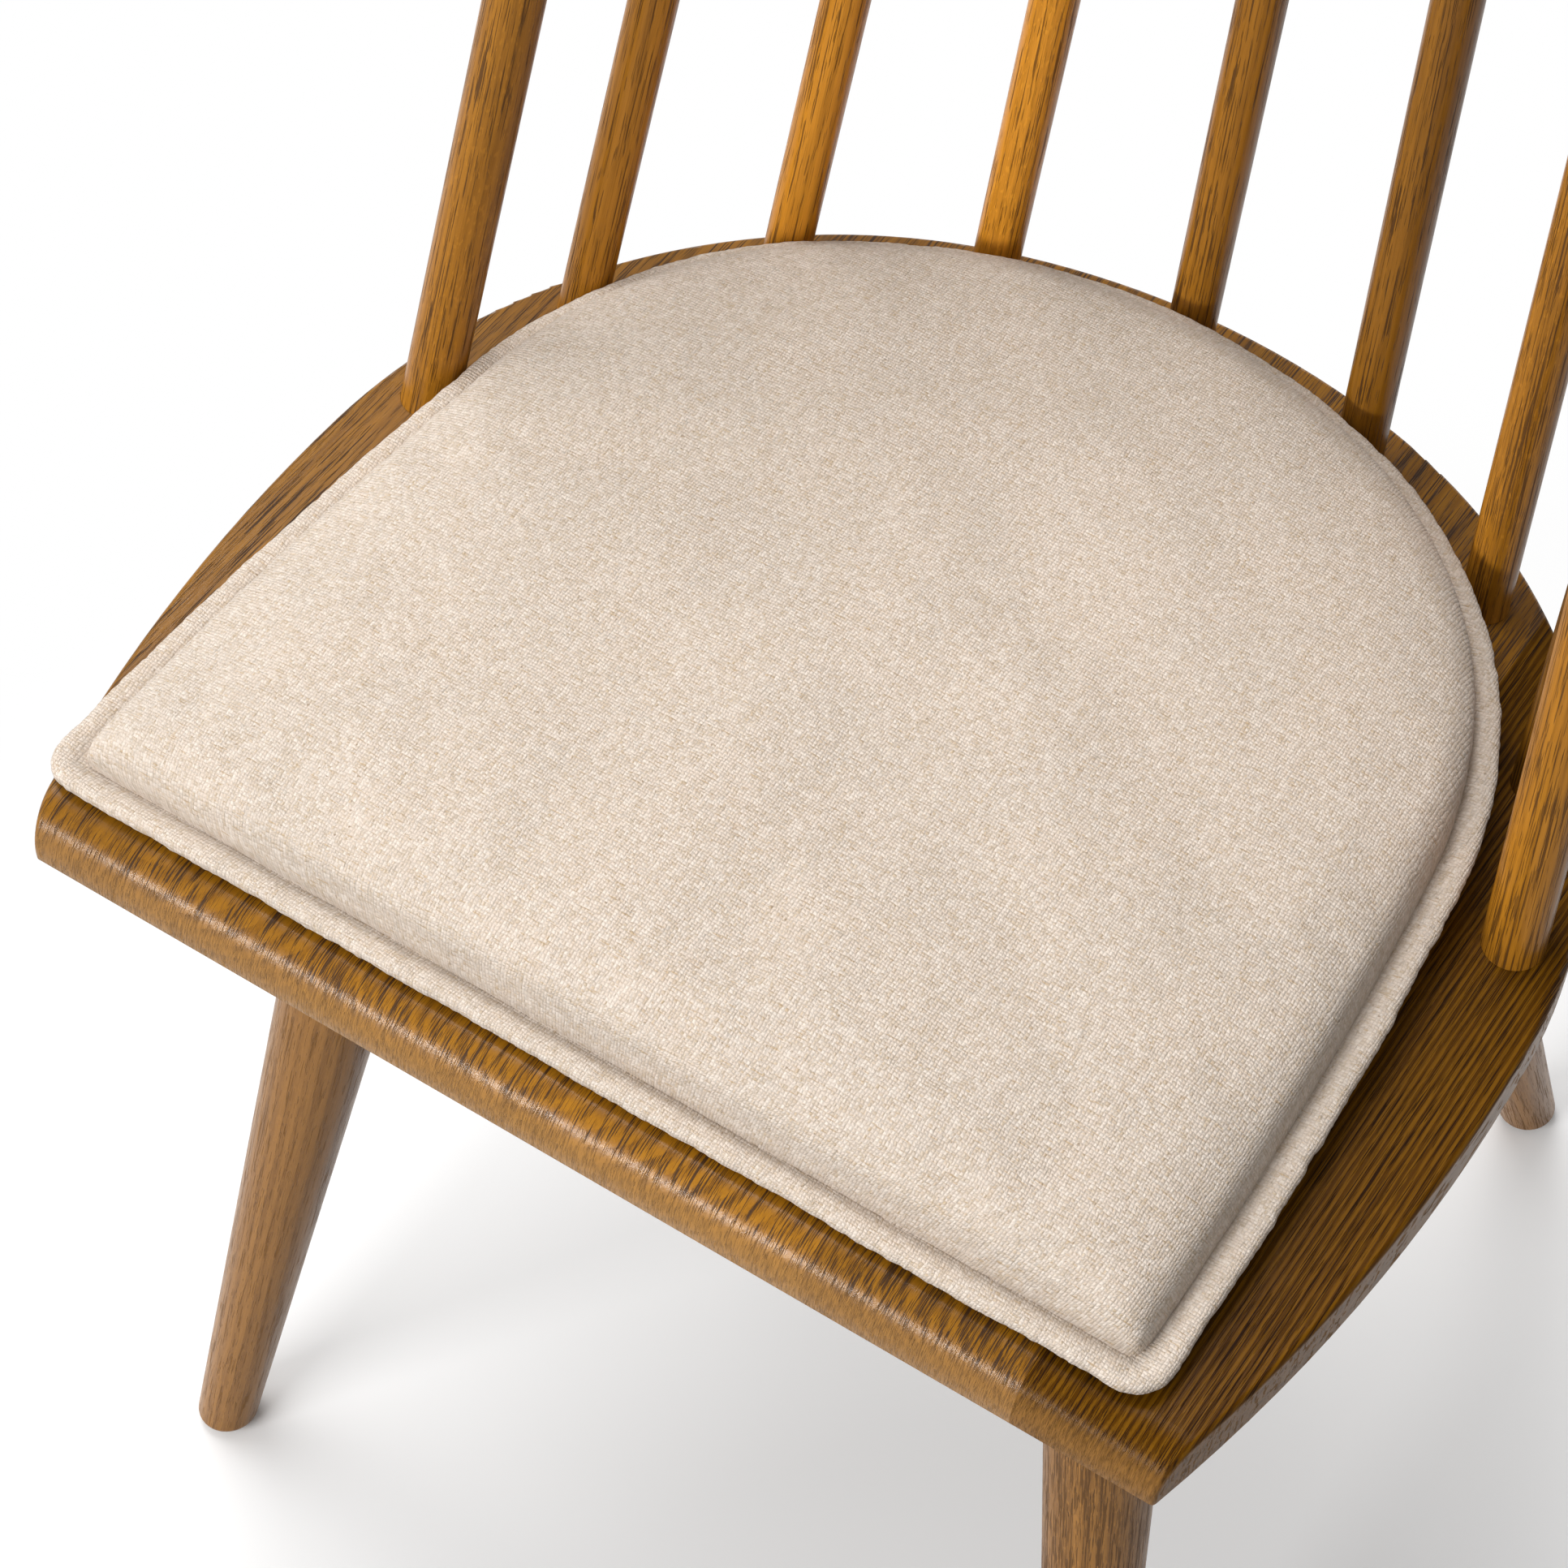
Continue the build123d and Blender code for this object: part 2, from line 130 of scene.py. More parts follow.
def oak(
    name,
    grain,
    log,
    pale,
    deep,
    pore,
    pore_size=1.0,
    pore_ribbon=1.0,
    pore_share=0.5,
    pore_ink=0.9,
    ring_width=oak_ring_width,
    figure=0.10,
    flecks=0.0,
    lacquer=0.26,
    painted_side_light_share=0.0,
):
    """Stained open-pored oak: grain is the way its fibres run, and log is where its pith lies."""
    material, wiring = new_finish(name)
    node, join, maths = wiring.node, wiring.join, wiring.maths
    spread, blend = wiring.spread, wiring.blend

    def grain_noise(vector, across, along, detail=3.0, roughness=0.5):
        return wiring.noise_at(vector, (across, across, along), detail, roughness).outputs["Fac"]

    place = node("ShaderNodeTexCoord")
    turned = node("ShaderNodeMapping")
    turned.inputs["Rotation"].default_value = grain.rotation_difference(Vector((0, 0, 1))).to_euler()
    turned.inputs["Location"].default_value = log
    join(place.outputs["Object"], turned.inputs["Vector"])
    board = turned.outputs["Vector"]

    # rings: distance from the pith, wandering slowly along the log
    wander = grain_noise(board, 0.07, 0.35, detail=1.0)
    ripple = grain_noise(board, 0.016, 0.09, detail=2.0)
    split = node("ShaderNodeSeparateXYZ")
    join(board, split.inputs[0])
    squares = [maths("POWER", split.outputs[axis], 2.0) for axis in (0, 1)]
    radius = maths("SQRT", maths("ADD", *squares))
    rings = maths("DIVIDE", radius, ring_width)
    rings = maths("ADD", rings, maths("MULTIPLY", wander, 2.2))
    rings = maths("ADD", rings, maths("MULTIPLY", ripple, 0.7))
    season = maths("FRACT", rings)
    early = maths("MULTIPLY", spread(season, 0.0, 0.12), spread(season, 0.75, 0.35))

    # pores: thin dashes along the grain, crowded in the early wood
    crowd = grain_noise(board, 0.020, 0.12, detail=1.0)
    leaning = maths("ADD", maths("MULTIPLY", early, 0.035), maths("MULTIPLY", crowd, 0.10))
    leaning = maths("ADD", leaning, 0.10 * (pore_share - 0.5) - 0.05)
    pore_width = oak_pore_width * pore_size
    ribbon = node("ShaderNodeMapping")
    ribbon.inputs["Scale"].default_value = (1, pore_ribbon, 1)
    join(board, ribbon.inputs["Vector"])
    streaked = ribbon.outputs["Vector"]
    long_pores = grain_noise(streaked, pore_width, oak_pore_length, detail=2.0, roughness=0.6)
    long_pores = spread(maths("ADD", long_pores, leaning), 0.615, 0.650)
    short_pores = grain_noise(streaked, pore_width * 0.6, oak_pore_length * 0.4, detail=1.0)
    short_pores = spread(maths("ADD", short_pores, leaning), 0.66, 0.70)
    open_pores = maths("MAXIMUM", long_pores, maths("MULTIPLY", short_pores, 0.7))

    # colour: fibres and slow streaks between the pale and the deep stain
    fibres = grain_noise(board, oak_fibre_width, oak_fibre_length, roughness=0.65)
    streaks = grain_noise(board, 0.0035, 0.16, roughness=0.6)
    tone = maths("ADD", maths("MULTIPLY", streaks, 0.55), maths("MULTIPLY", fibres, 0.45))
    tone = maths("ADD", tone, maths("MULTIPLY", early, figure))
    colour = blend(spread(tone, 0.34, 0.90), pale, deep)
    if flecks:
        rays = spread(grain_noise(board, 0.0011, 0.0035, detail=1.0), 0.60, 0.68)
        ray_colour = tuple(min(1.0, c * 1.45) for c in pale)
        colour = blend(maths("MULTIPLY", rays, flecks), colour, ray_colour)

    # end grain: pinker, with a fine slanted hatch where the pores are cut across.  Steep side faces get
    # the same pale colour as painted light, lightening faces that stand in shade
    facing = node("ShaderNodeVectorMath", operation="DOT_PRODUCT")
    join(place.outputs["Normal"], facing.inputs[0])
    facing.inputs[1].default_value = grain
    end_grain = spread(maths("ABSOLUTE", facing.outputs["Value"]), 0.60, 0.97)
    upright = node("ShaderNodeSeparateXYZ")
    join(place.outputs["Normal"], upright.inputs[0])
    # painted light: steep faces are made paler, up to this share, where the light falls on them dimly
    painted_side_light = spread(maths("ABSOLUTE", upright.outputs[2]), 0.55, 0.15, 0.0, painted_side_light_share)
    slanted = node("ShaderNodeMapping")
    slanted.inputs["Rotation"].default_value = (0, 0, 0.7)
    slanted.inputs["Scale"].default_value = (1, 0.16, 0.02)
    join(board, slanted.inputs["Vector"])
    hatch = grain_noise(slanted.outputs["Vector"], 0.0006, 0.0006, detail=2.0)
    cut_and_lit_side_colour = (pale[0] * 0.44 + 0.27, pale[1] * 0.55 + 0.13, pale[2] * 1.5 + 0.045)
    end_grain_and_lit_side_colour = blend(spread(hatch, 0.40, 0.70), cut_and_lit_side_colour, tuple(c * 0.62 for c in cut_and_lit_side_colour))
    inked = maths("MULTIPLY", open_pores, maths("MULTIPLY_ADD", end_grain, -0.6 * pore_ink, pore_ink))
    colour = blend(inked, colour, pore)
    # end grain colour, also laid on steep side faces as painted light
    colour = blend(maths("MAXIMUM", maths("MULTIPLY", end_grain, 0.8), painted_side_light), colour, end_grain_and_lit_side_colour)

    # satin lacquer over open pores
    surface = node("ShaderNodeBsdfPrincipled")
    surface.inputs["IOR"].default_value = 1.5
    surface.inputs["Specular IOR Level"].default_value = lacquer
    surface.inputs["Coat Weight"].default_value = lacquer_coat_share * lacquer
    surface.inputs["Coat Roughness"].default_value = lacquer_coat_roughness
    join(colour, surface.inputs["Base Color"])
    roughness = maths("MULTIPLY_ADD", fibres, fibre_roughness, oak_roughness)
    roughness = maths("MULTIPLY_ADD", open_pores, pore_roughness, roughness)
    join(roughness, surface.inputs["Roughness"])
    relief = node("ShaderNodeBump")
    relief.inputs["Distance"].default_value = oak_pore_depth
    relief.inputs["Strength"].default_value = 0.9
    height = maths("SUBTRACT", maths("MULTIPLY", fibres, 0.20), open_pores)
    join(height, relief.inputs["Height"])
    join(relief.outputs["Normal"], surface.inputs["Normal"])
    join(relief.outputs["Normal"], surface.inputs["Coat Normal"])
    output = node("ShaderNodeOutputMaterial")
    join(surface.outputs["BSDF"], output.inputs["Surface"])
    return material


def finish_in(material, *names):
    """Gives these CAD pieces this finish."""
    for name in names:
        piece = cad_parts[name]
        piece.data.materials.clear()
        piece.data.materials.append(material)


# each board: where its pith lies across and below it, how pale it is, how full of pores, how coarse
# they are, how glossy its lacquer is, how wide its rings are and how strongly they show
boards = (
    ("seat_stave_1", (0.12, 0.09), 0.82, 0.74, 0.70, 0.26, oak_ring_width, 0.10),
    ("seat_stave_2", (0.05, 0.14), 0.94, 0.86, 0.70, 0.30, oak_ring_width, 0.10),
    ("seat_stave_3", (-0.10, 0.11), 1.04, 0.92, 0.66, 0.30, oak_ring_width, 0.10),
    ("seat_stave_4", (0.09, 0.16), 1.12, 0.82, 0.70, 0.30, oak_ring_width, 0.10),
    ("seat_stave_5", (-0.06, 0.10), 0.90, 0.88, 0.66, 0.26, oak_ring_width, 0.10),
    # seat_stave_6 is darker partly as painted shade, for the cushion's shade and the dim light on the right
    # side
    ("seat_stave_6", (0.15, 0.04), 0.51, 0.66, 0.45, 0.06, 0.0024, 0.38),
)
for number, (stave, *board) in enumerate(boards):
    pith, paleness, pore_share, pore_size, lacquer, ring_width, figure = board
    low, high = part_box(stave)
    middle = (low + high) / 2
    log = (pith[0] - middle.x, pith[1] + 0.45, 0.37 * number)
    finish_in(
        oak(
            f"{stave}_oak",
            Vector((0.02, 1, 0.035)).normalized(),
            log,
            (0.36 * paleness, 0.150 * paleness, 0.006 * paleness),
            (0.165 * paleness, 0.060 * paleness, 0.001 * paleness),
            (0.035 * paleness, 0.012 * paleness, 0.002),
            pore_size=pore_size,
            pore_ribbon=0.06,
            pore_share=pore_share,
            ring_width=ring_width,
            figure=figure,
            lacquer=lacquer,
            # the seat's steep sides are painted paler as painted light
            painted_side_light_share=0.75,
        ),
        stave,
    )

# ---------------------------------------------------------------- legs, wedges and glides
# Four oak legs turned to a plain cone.  Each goes through the seat in a round tenon, split by an oak
# wedge, and stands on a nailed nylon glide.  The legs took less stain than the seat.


def axis_of(name):
    """Line of a turned piece: the middle of its lowest rim and its direction."""
    points = np.array([v.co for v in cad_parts[name].data.vertices])
    middle = points.mean(axis=0)
    way = np.linalg.svd(points - middle, full_matrices=False)[2][0]
    return Vector(middle), Vector(way * np.sign(way[2]))


# each leg: where its pith lies, how full of pores it is, how dark they are and how many rays show
leg_finishes = (
    ("leg_front_left", (0.035, 0.012), 0.45, 0.35, 0.15),
    ("leg_front_right", (0.010, 0.045), 0.95, 0.80, 0.35),
    ("leg_rear_left", (0.03, -0.03), 0.6, 0.5, 0.1),
    ("leg_rear_right", (-0.04, 0.02), 0.6, 0.5, 0.1),
)
for number, (leg, pith, pore_share, pore_ink, flecks) in enumerate(leg_finishes):
    middle, way = axis_of(leg)
    turn = way.rotation_difference(Vector((0, 0, 1))).to_matrix()
    at = turn @ middle
    finish_in(
        oak(
            f"{leg}_oak",
            way,
            (pith[0] - at.x, pith[1] - at.y, 1.3 + 0.41 * number),
            (0.37, 0.165, 0.030),
            (0.205, 0.084, 0.010),
            (0.10, 0.045, 0.012),
            pore_share=pore_share,
            pore_ink=pore_ink,
            flecks=flecks,
            figure=0.16,
            lacquer=0.20,
        ),
        leg,
    )
wedge_colours = ((0.24, 0.11, 0.02), (0.12, 0.05, 0.01), (0.02, 0.01, 0.003))
finish_in(oak("wedge_oak", Vector((0, 0, 1)), (0.03, 0.02, 3.1), *wedge_colours), "leg_wedges")

# ---------------------------------------------------------------- spindles and end posts
# Nine straight round bars turned from split oak, glued into blind holes in the seat and the rail.
# Each came from another piece of wood and has its own paleness; spindle_7 is made darker as
# painted shade, for the shade it stands in behind the right end post.
bar_paleness_and_shade = {
    "end_post_left": 1.00,
    "spindle_1": 1.28,
    "spindle_2": 1.68,
    "spindle_3": 1.80,
    "spindle_4": 0.96,
    "spindle_5": 0.74,
    "spindle_6": 1.08,
    # spindle_7: darker as painted shade
    "spindle_7": 0.45,
    "end_post_right": 1.15,
}
for number, (name, paleness) in enumerate(bar_paleness_and_shade.items()):
    middle, way = axis_of(name)
    at = way.rotation_difference(Vector((0, 0, 1))).to_matrix() @ middle
    angle = 2.4 * number
    pith = (0.05 * cos(angle), 0.05 * sin(angle))
    finish_in(
        oak(
            f"{name}_oak",
            way,
            (pith[0] - at.x, pith[1] - at.y, 4.0 + 0.53 * number),
            (0.42 * paleness, 0.172 * paleness, 0.014 * paleness),
            (0.20 * paleness, 0.076 * paleness, 0.004 * paleness),
            (0.060 * paleness, 0.022 * paleness, 0.003),
            ring_width=0.0028,
            pore_ink=0.8,
            lacquer=0.2,
            pore_share=0.55 + 0.15 * sin(3.3 * number),
            flecks=0.25 if number % 3 == 0 else 0.0,
        ),
        name,
    )

# ---------------------------------------------------------------- rail
# A bent back piece and two arms, joined end to end with hidden beech dowels.
rail_grain = (
    ("back_rail", Vector((1, 0, 0))),
    ("arm_left", Vector((0.25, 1, 0)).normalized()),
    ("arm_right", Vector((-0.25, 1, 0)).normalized()),
)
rail_height = 0.78
for number, (name, way) in enumerate(rail_grain):
    finish_in(
        oak(
            f"{name}_oak",
            way,
            (0.06, 0.04 - rail_height, 7.0 + 0.61 * number),
            (0.38, 0.165, 0.014),
            (0.175, 0.066, 0.004),
            (0.030, 0.012, 0.004),
        ),
        name,
    )

# ---------------------------------------------------------------- dowels, glides and nails
# Beech dowels inside the rail's joints.  Under each leg a turned nylon glide held by one steel nail.
beech_colours = ((0.62, 0.40, 0.22), (0.48, 0.29, 0.15), (0.30, 0.17, 0.08))
finish_in(
    oak("dowel_beech", Vector((1, 0, 0)), (0.02, 0.03, 9.2), *beech_colours, pore_ink=0.3, lacquer=0.2),
    "rail_dowels",
)


def plain(name, colour, roughness, metallic=0.0, grain_size=0.0, grain_depth=0.0):
    """One-colour finish with a fine grain of its own."""
    material = bpy.data.materials.new(name)
    material.use_nodes = True
    wiring = Wiring(material.node_tree)
    surface = material.node_tree.nodes["Principled BSDF"]
    surface.inputs["Base Color"].default_value = (*colour, 1)
    surface.inputs["Roughness"].default_value = roughness
    surface.inputs["Metallic"].default_value = metallic
    if grain_size:
        place = wiring.node("ShaderNodeTexCoord")
        grain = wiring.noise_at(place.outputs["Object"], (grain_size,) * 3, detail=3.0)
        relief = wiring.node("ShaderNodeBump")
        relief.inputs["Distance"].default_value = grain_depth
        wiring.join(grain.outputs["Fac"], relief.inputs["Height"])
        wiring.join(relief.outputs["Normal"], surface.inputs["Normal"])
    return material


glide_names = [f"glide_{place}" for place in ("front_left", "front_right", "rear_left", "rear_right")]
glide_nylon = plain("glide_nylon", (0.42, 0.39, 0.34), 0.45, grain_size=0.0006, grain_depth=0.00003)
finish_in(glide_nylon, *glide_names)
finish_in(plain("nail_steel", (0.55, 0.55, 0.56), 0.32, metallic=1.0), "glide_nails")

# ---------------------------------------------------------------- cushion pad
# A foam slab in an oatmeal plain-weave cover.  The cover is cut a little large, sewn to its flange
# all round and blown out by the foam, so it bulges at the back and pulls into soft puckers.
flange_low, flange_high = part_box("cushion_flange")
flange_thickness = 0.004
pad_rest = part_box("cushion_bottom_panel")[0].z
pad_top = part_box("cushion_top_panel")[1].z + 0.0006
crown_centre = (-0.001, 0.060)
crown_radius = 3.27
pad_roll = 0.0125
underside_roll = 0.0045
seam_inset = 0.0108
pad_swell = 0.003
back_bulge = 0.0042
outline_count = 1440
pad_step = 4
weave_fall = 0.012
weave_stretch = 0.55
seam_shade_reach = 0.0035


def plan_outline(name, count):
    """Even walk round a piece's outline seen from above, starting at the back, with outward normals."""
    points = [v.co.to_2d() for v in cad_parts[name].data.vertices]
    hull = np.array([points[index] for index in geometry.convex_hull_2d(points)])
    start = hull[:, 1].argmax()
    hull = np.roll(hull, -start, axis=0)
    closed = np.vstack([hull, hull[:1]])
    walked = np.concatenate([[0], np.cumsum(np.linalg.norm(np.diff(closed, axis=0), axis=1))])
    at = np.arange(count) / count * walked[-1]
    even = np.stack([np.interp(at, walked, closed[:, 0]), np.interp(at, walked, closed[:, 1])], axis=1)
    soft = sum(np.roll(even, shift, axis=0) for shift in range(-3, 4)) / 7
    along = np.roll(soft, -1, axis=0) - np.roll(soft, 1, axis=0)
    along /= np.linalg.norm(along, axis=1)[:, None]
    outward = np.stack([along[:, 1], -along[:, 0]], axis=1)
    if (outward * (soft - soft.mean(axis=0))).sum() < 0:
        outward = -outward
    return soft, outward


edge, edge_outward = plan_outline("cushion_flange", outline_count)
seam = edge - edge_outward * seam_inset


def seam_height(y):
    """Height of the sewn edge: low at the front, lifted where it leans on the spindles."""
    share = (y - flange_low.y) / (flange_high.y - flange_low.y)
    low, high = flange_low.z + flange_thickness / 2, flange_high.z - flange_thickness / 2
    return low + (high - low) * share


def lumps(x, y, size, seed):
    """Soft unevenness of stuffed cloth over the plan, from -1 to 1."""
    return np.array([noise.noise(Vector((a / size, b / size, seed))) for a, b in zip(x, y)])


def rounded(share, power=2.3):
    """Height share of a rolled edge at this share of its width."""
    return (1 - (1 - np.clip(share, 0, 1)) ** power) ** (1 / power)


def pad_ring(scale, side):
    """One ring of the pad: the seam drawn in by a scale, above (side 1) or below (side -1)."""
    middle = seam.mean(axis=0)
    points = middle + (seam[::pad_step] - middle) * scale
    inset = np.array([np.linalg.norm(seam - point, axis=1).min() for point in points])
    x, y = points.T
    seam_z = seam_height(y)
    if side > 0:
        fall = ((x - crown_centre[0]) ** 2 + (y - crown_centre[1]) ** 2) / (2 * crown_radius)
        share = rounded(inset / (pad_roll + 0.005 * np.clip(-y / 0.08, 0, 1)))
        full = pad_top - fall + pad_swell * (1 - np.exp(-inset / 0.035))
        z = seam_z + (full - seam_z) * share + 0.0007 * lumps(x, y, 0.07, 3.0) * share
    else:
        share = rounded(inset / underside_roll)
        z = seam_z + (pad_rest - seam_z) * share
    back = np.clip((y + 0.02) / 0.15, 0, 1)
    bulge = back_bulge * back * 4 * share * (1 - share) * (1.0 if side > 0 else 0.5)
    x, y = (points + edge_outward[::pad_step] * bulge[:, None]).T
    return np.stack([x, y, z], axis=1)


def closed_pad():
    """Pad as a closed mesh of rings, above and below the seam."""
    mesh = bmesh.new()
    scales = 1 - np.linspace(0, 1, 64)[:-1] ** 1.7
    rim = [mesh.verts.new(point) for point in pad_ring(1.0, 1)]
    for side in (1, -1):
        outer = rim
        for scale in scales[1:]:
            inner = [mesh.verts.new(point) for point in pad_ring(scale, side)]
            for k in range(len(rim)):
                mesh.faces.new([outer[k - 1], outer[k], inner[k], inner[k - 1]])
            outer = inner
        pole = mesh.verts.new(sum((v.co for v in outer), Vector()) / len(outer))
        for k in range(len(rim)):
            mesh.faces.new([outer[k - 1], outer[k], pole])
    bmesh.ops.recalc_face_normals(mesh, faces=mesh.faces)
    data = bpy.data.meshes.new("cushion_pad")
    mesh.to_mesh(data)
    mesh.free()
    return data


def apply_modifiers(piece):
    """Makes what the modifiers give the piece's own mesh."""
    shaped = bpy.data.meshes.new_from_object(piece.evaluated_get(bpy.context.evaluated_depsgraph_get()))
    piece.modifiers.clear()
    piece.data = shaped


def mesh_points(piece):
    """The piece's points as an array."""
    points = np.empty(len(piece.data.vertices) * 3)
    piece.data.vertices.foreach_get("co", points)
    return points.reshape(-1, 3)


def blow_up(piece, most, share, frames=20):
    """Cloth run: the filling presses the cover out while its seam stays sewn.  Keeps a share of it."""
    start = mesh_points(piece)
    sewn = piece.vertex_groups.new(name="sewn")
    for index, point in enumerate(start):
        reach = np.linalg.norm(seam - point[:2], axis=1).min() + abs(point[2] - seam_height(point[1]))
        held = max(0.0, 1 - reach / 0.006)
        if point[2] < pad_rest + 0.0008:
            held = 1.0
        if held:
            sewn.add([index], held, "REPLACE")
    cloth = piece.modifiers.new("cover", "CLOTH")
    cloth.settings.quality = 6
    cloth.settings.mass = 0.3
    cloth.settings.tension_stiffness = 60
    cloth.settings.compression_stiffness = 60
    cloth.settings.bending_stiffness = 0.5
    cloth.settings.shrink_min = -0.012
    cloth.settings.use_pressure = True
    cloth.settings.uniform_pressure_force = 0.5
    cloth.settings.vertex_group_mass = "sewn"
    cloth.settings.effector_weights.gravity = 0.0
    cloth.collision_settings.use_collision = False
    cloth.point_cache.frame_start = 1
    cloth.point_cache.frame_end = frames
    for count in range(1, frames + 1):
        bpy.context.scene.frame_set(count)
    apply_modifiers(piece)
    piece.vertex_groups.clear()
    bpy.context.scene.frame_set(1)
    moved = share * (mesh_points(piece) - start)
    far = np.linalg.norm(moved, axis=1)
    moved *= (np.minimum(far, most) / np.maximum(far, 1e-9))[:, None]
    piece.data.vertices.foreach_set("co", (start + moved).ravel())
    piece.data.update()


pad = bpy.data.objects.new("cushion_pad", closed_pad())
bpy.context.scene.collection.objects.link(pad)
remesh = pad.modifiers.new("even", "REMESH")
remesh.mode = "VOXEL"
remesh.voxel_size = 0.004
smooth = pad.modifiers.new("soft", "SMOOTH")
smooth.factor = 0.5
smooth.iterations = 2
apply_modifiers(pad)
blow_up(pad, most=0.004, share=0.42)
over_foam = pad.modifiers.new("over_foam", "SHRINKWRAP")
over_foam.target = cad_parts["cushion_foam"]
over_foam.wrap_mode = "OUTSIDE"
over_foam.offset = 0.0007
settle = pad.modifiers.new("settle", "SMOOTH")
settle.factor = 0.4
settle.iterations = 2
finer = pad.modifiers.new("finer", "SUBSURF")
finer.levels = finer.render_levels = 1
apply_modifiers(pad)


def lay_weave(piece, centre):
    """Stores where each point lies on the flat-cut cloth, and how near it is to the seam for the painted
    shade along it.
    """
    points = np.array([v.co for v in piece.data.vertices])
    plan = points[:, :2] - centre
    drop = np.maximum(0, pad_top - weave_fall - points[:, 2])
    reach = np.linalg.norm(plan, axis=1)
    cloth = plan * (1 + weave_stretch * drop / np.maximum(reach, 0.05))[:, None]
    stored = piece.data.attributes.new("cloth", "FLOAT_VECTOR", "POINT")
    flat = np.column_stack([cloth, np.zeros(len(cloth))]).astype(np.float32)
    stored.data.foreach_set("vector", flat.ravel())
    tree = kdtree.KDTree(len(seam))
    for index, (x, y) in enumerate(seam):
        tree.insert((x, y, seam_height(y) + 0.002), index)
    tree.balance()
    away = np.array([tree.find(point)[2] for point in points])
    # share of painted shade along the seam groove, falling off with distance from the seam
    seam_shade_share = piece.data.attributes.new("seam_shade_share", "FLOAT", "POINT")
    seam_shade_share.data.foreach_set("value", np.clip(1.3 - away / seam_shade_reach, 0, 1).astype(np.float32))


yarn_pitch = 0.00125
cloth_relief = 0.00034
pale_oat = (0.71, 0.590, 0.490)
dull_oat = (0.67, 0.565, 0.475)
ochre_slub = (0.56, 0.42, 0.27)
grey_slub = (0.53, 0.47, 0.41)
dark_nep = (0.34, 0.24, 0.15)
# colour of the painted shade in the hollows between the yarns
yarn_gap_shade = (0.34, 0.27, 0.21)
pale_nub = (0.85, 0.76, 0.67)
dull_nub = (0.52, 0.41, 0.29)
lint = (0.84, 0.75, 0.66)
brown_speck = (0.42, 0.27, 0.13)
ochre_thread = (0.50, 0.35, 0.20)
grey_thread = (0.42, 0.35, 0.28)
seam_shade = (0.30, 0.25, 0.205)


